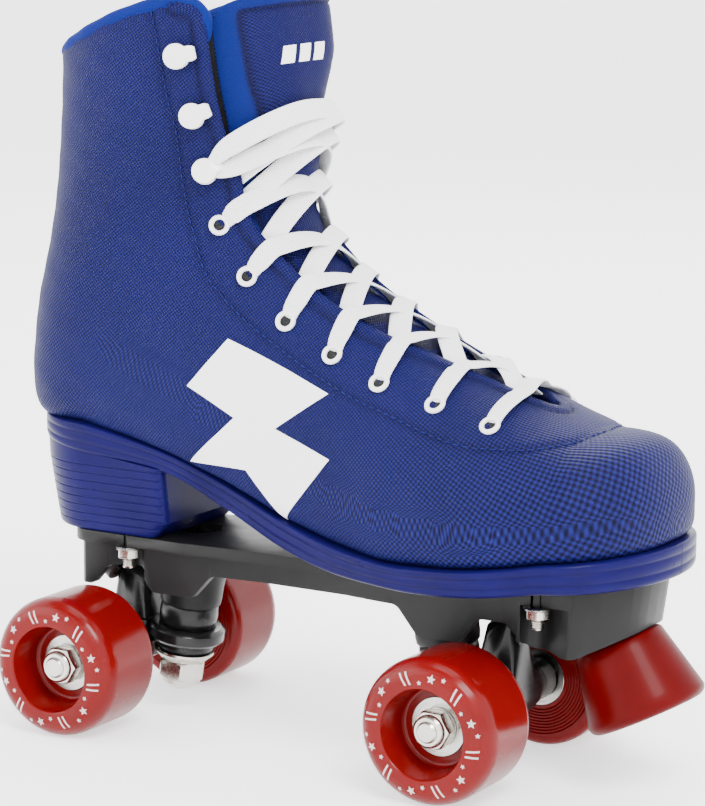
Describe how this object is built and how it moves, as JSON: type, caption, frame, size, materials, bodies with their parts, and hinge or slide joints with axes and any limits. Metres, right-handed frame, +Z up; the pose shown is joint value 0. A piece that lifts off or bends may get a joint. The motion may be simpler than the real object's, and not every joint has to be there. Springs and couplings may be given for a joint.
{
  "type": "quad roller skate",
  "caption": "Laced high-top quad roller skate with a heeled boot, nylon plate, two steering trucks, urethane wheels on ball bearings and a round toe stop.",
  "frame": {"origin": "on the floor under the centre of the bounding box", "axes": "+X towards the toe, +Y to the wearer's left, +Z up"},
  "size_m": [0.2835, 0.1254, 0.2798],
  "materials": {
    "mesh_fabric": "woven mesh with a plush edge",
    "tongue_fabric": "padded mesh",
    "lining": "soft black lining",
    "lace": "flat woven",
    "white_enamel": "glossy white enamel",
    "sole": "glossy moulded",
    "plate_nylon": "satin moulded nylon",
    "toe_stop_rubber": "glossy",
    "urethane": "glossy cast urethane",
    "hanger_black": "semi-gloss black",
    "cushion_black": "smooth",
    "cup_nylon": "satin",
    "bearing_steel": "polished",
    "zinc": "bright zinc plate"
  },
  "bodies": {
    "chassis": {"vamp": "mesh_fabric", "quarters": "mesh_fabric", "footbed": "lining", "tongue": "tongue_fabric", "lace": "lace", "eyelets": "white_enamel", "lace_hooks": "white_enamel", "outsole": "sole", "heel_block": "sole", "plate": "plate_nylon", "plate_bolts": "zinc", "plate_nuts": "zinc", "toe_stop": "toe_stop_rubber", "toe_stop_bolt": "zinc", "toe_stop_nut": "zinc", "front_kingpin": "zinc", "front_kingpin_nut": "zinc", "front_cup_washer": "zinc", "front_upper_cushion": "cushion_black", "front_lower_cushion": "cushion_black", "front_pivot_cup": "cup_nylon", "rear_kingpin": "zinc", "rear_kingpin_nut": "zinc", "rear_cup_washer": "zinc", "rear_upper_cushion": "cushion_black", "rear_lower_cushion": "cushion_black", "rear_pivot_cup": "cup_nylon"},
    "front_truck": {"front_hanger": "hanger_black", "front_axle": "zinc", "front_bearing_inner_rings": "bearing_steel", "front_bearing_spacers": "bearing_steel", "front_axle_washers": "zinc", "front_axle_nuts": "zinc"},
    "rear_truck": {"rear_hanger": "hanger_black", "rear_axle": "zinc", "rear_bearing_inner_rings": "bearing_steel", "rear_bearing_spacers": "bearing_steel", "rear_axle_washers": "zinc", "rear_axle_nuts": "zinc"},
    "front_left_wheel": {"front_left_wheel": "urethane", "front_left_bearing_outer_rings": "bearing_steel"},
    "front_left_balls": {"front_left_bearing_balls": "bearing_steel"},
    "front_right_wheel": {"front_right_wheel": "urethane", "front_right_bearing_outer_rings": "bearing_steel"},
    "front_right_balls": {"front_right_bearing_balls": "bearing_steel"},
    "rear_left_wheel": {"rear_left_wheel": "urethane", "rear_left_bearing_outer_rings": "bearing_steel"},
    "rear_left_balls": {"rear_left_bearing_balls": "bearing_steel"},
    "rear_right_wheel": {"rear_right_wheel": "urethane", "rear_right_bearing_outer_rings": "bearing_steel"},
    "rear_right_balls": {"rear_right_bearing_balls": "bearing_steel"}
  },
  "joints": [
    {"name": "front_steer", "type": "hinge", "parent": "chassis", "child": "front_truck", "pos_m": [0.07444, 0, 0.06], "axis": [0.7576, 0, 0.6527], "range_deg": [-7, 7], "stiffness_Nm_per_rad": 40, "deforming": ["front_upper_cushion", "front_lower_cushion"]},
    {"name": "front_left_spin", "type": "hinge", "parent": "front_truck", "child": "front_left_wheel", "pos_m": [0.06344, 0.04575, 0.027], "axis": [0, 1, 0], "continuous": true},
    {"name": "front_left_ball_orbit", "type": "hinge", "parent": "front_truck", "child": "front_left_balls", "pos_m": [0.06344, 0.04575, 0.027], "axis": [0, 1, 0], "continuous": true},
    {"name": "front_right_spin", "type": "hinge", "parent": "front_truck", "child": "front_right_wheel", "pos_m": [0.06344, -0.04575, 0.027], "axis": [0, 1, 0], "continuous": true},
    {"name": "front_right_ball_orbit", "type": "hinge", "parent": "front_truck", "child": "front_right_balls", "pos_m": [0.06344, -0.04575, 0.027], "axis": [0, 1, 0], "continuous": true},
    {"name": "rear_steer", "type": "hinge", "parent": "chassis", "child": "rear_truck", "pos_m": [-0.10956, 0, 0.06], "axis": [-0.7576, 0, 0.6527], "range_deg": [-7, 7], "stiffness_Nm_per_rad": 40, "deforming": ["rear_upper_cushion", "rear_lower_cushion"]},
    {"name": "rear_left_spin", "type": "hinge", "parent": "rear_truck", "child": "rear_left_wheel", "pos_m": [-0.09856, 0.04575, 0.027], "axis": [0, 1, 0], "continuous": true},
    {"name": "rear_left_ball_orbit", "type": "hinge", "parent": "rear_truck", "child": "rear_left_balls", "pos_m": [-0.09856, 0.04575, 0.027], "axis": [0, 1, 0], "continuous": true},
    {"name": "rear_right_spin", "type": "hinge", "parent": "rear_truck", "child": "rear_right_wheel", "pos_m": [-0.09856, -0.04575, 0.027], "axis": [0, 1, 0], "continuous": true},
    {"name": "rear_right_ball_orbit", "type": "hinge", "parent": "rear_truck", "child": "rear_right_balls", "pos_m": [-0.09856, -0.04575, 0.027], "axis": [0, 1, 0], "continuous": true}
  ],
  "couplings": [
    {"joint": "front_left_ball_orbit", "follows": "front_left_spin", "ratio": 0.6323},
    {"joint": "front_right_ball_orbit", "follows": "front_right_spin", "ratio": 0.6323},
    {"joint": "rear_left_ball_orbit", "follows": "rear_left_spin", "ratio": 0.6323},
    {"joint": "rear_right_ball_orbit", "follows": "rear_right_spin", "ratio": 0.6323}
  ]
}
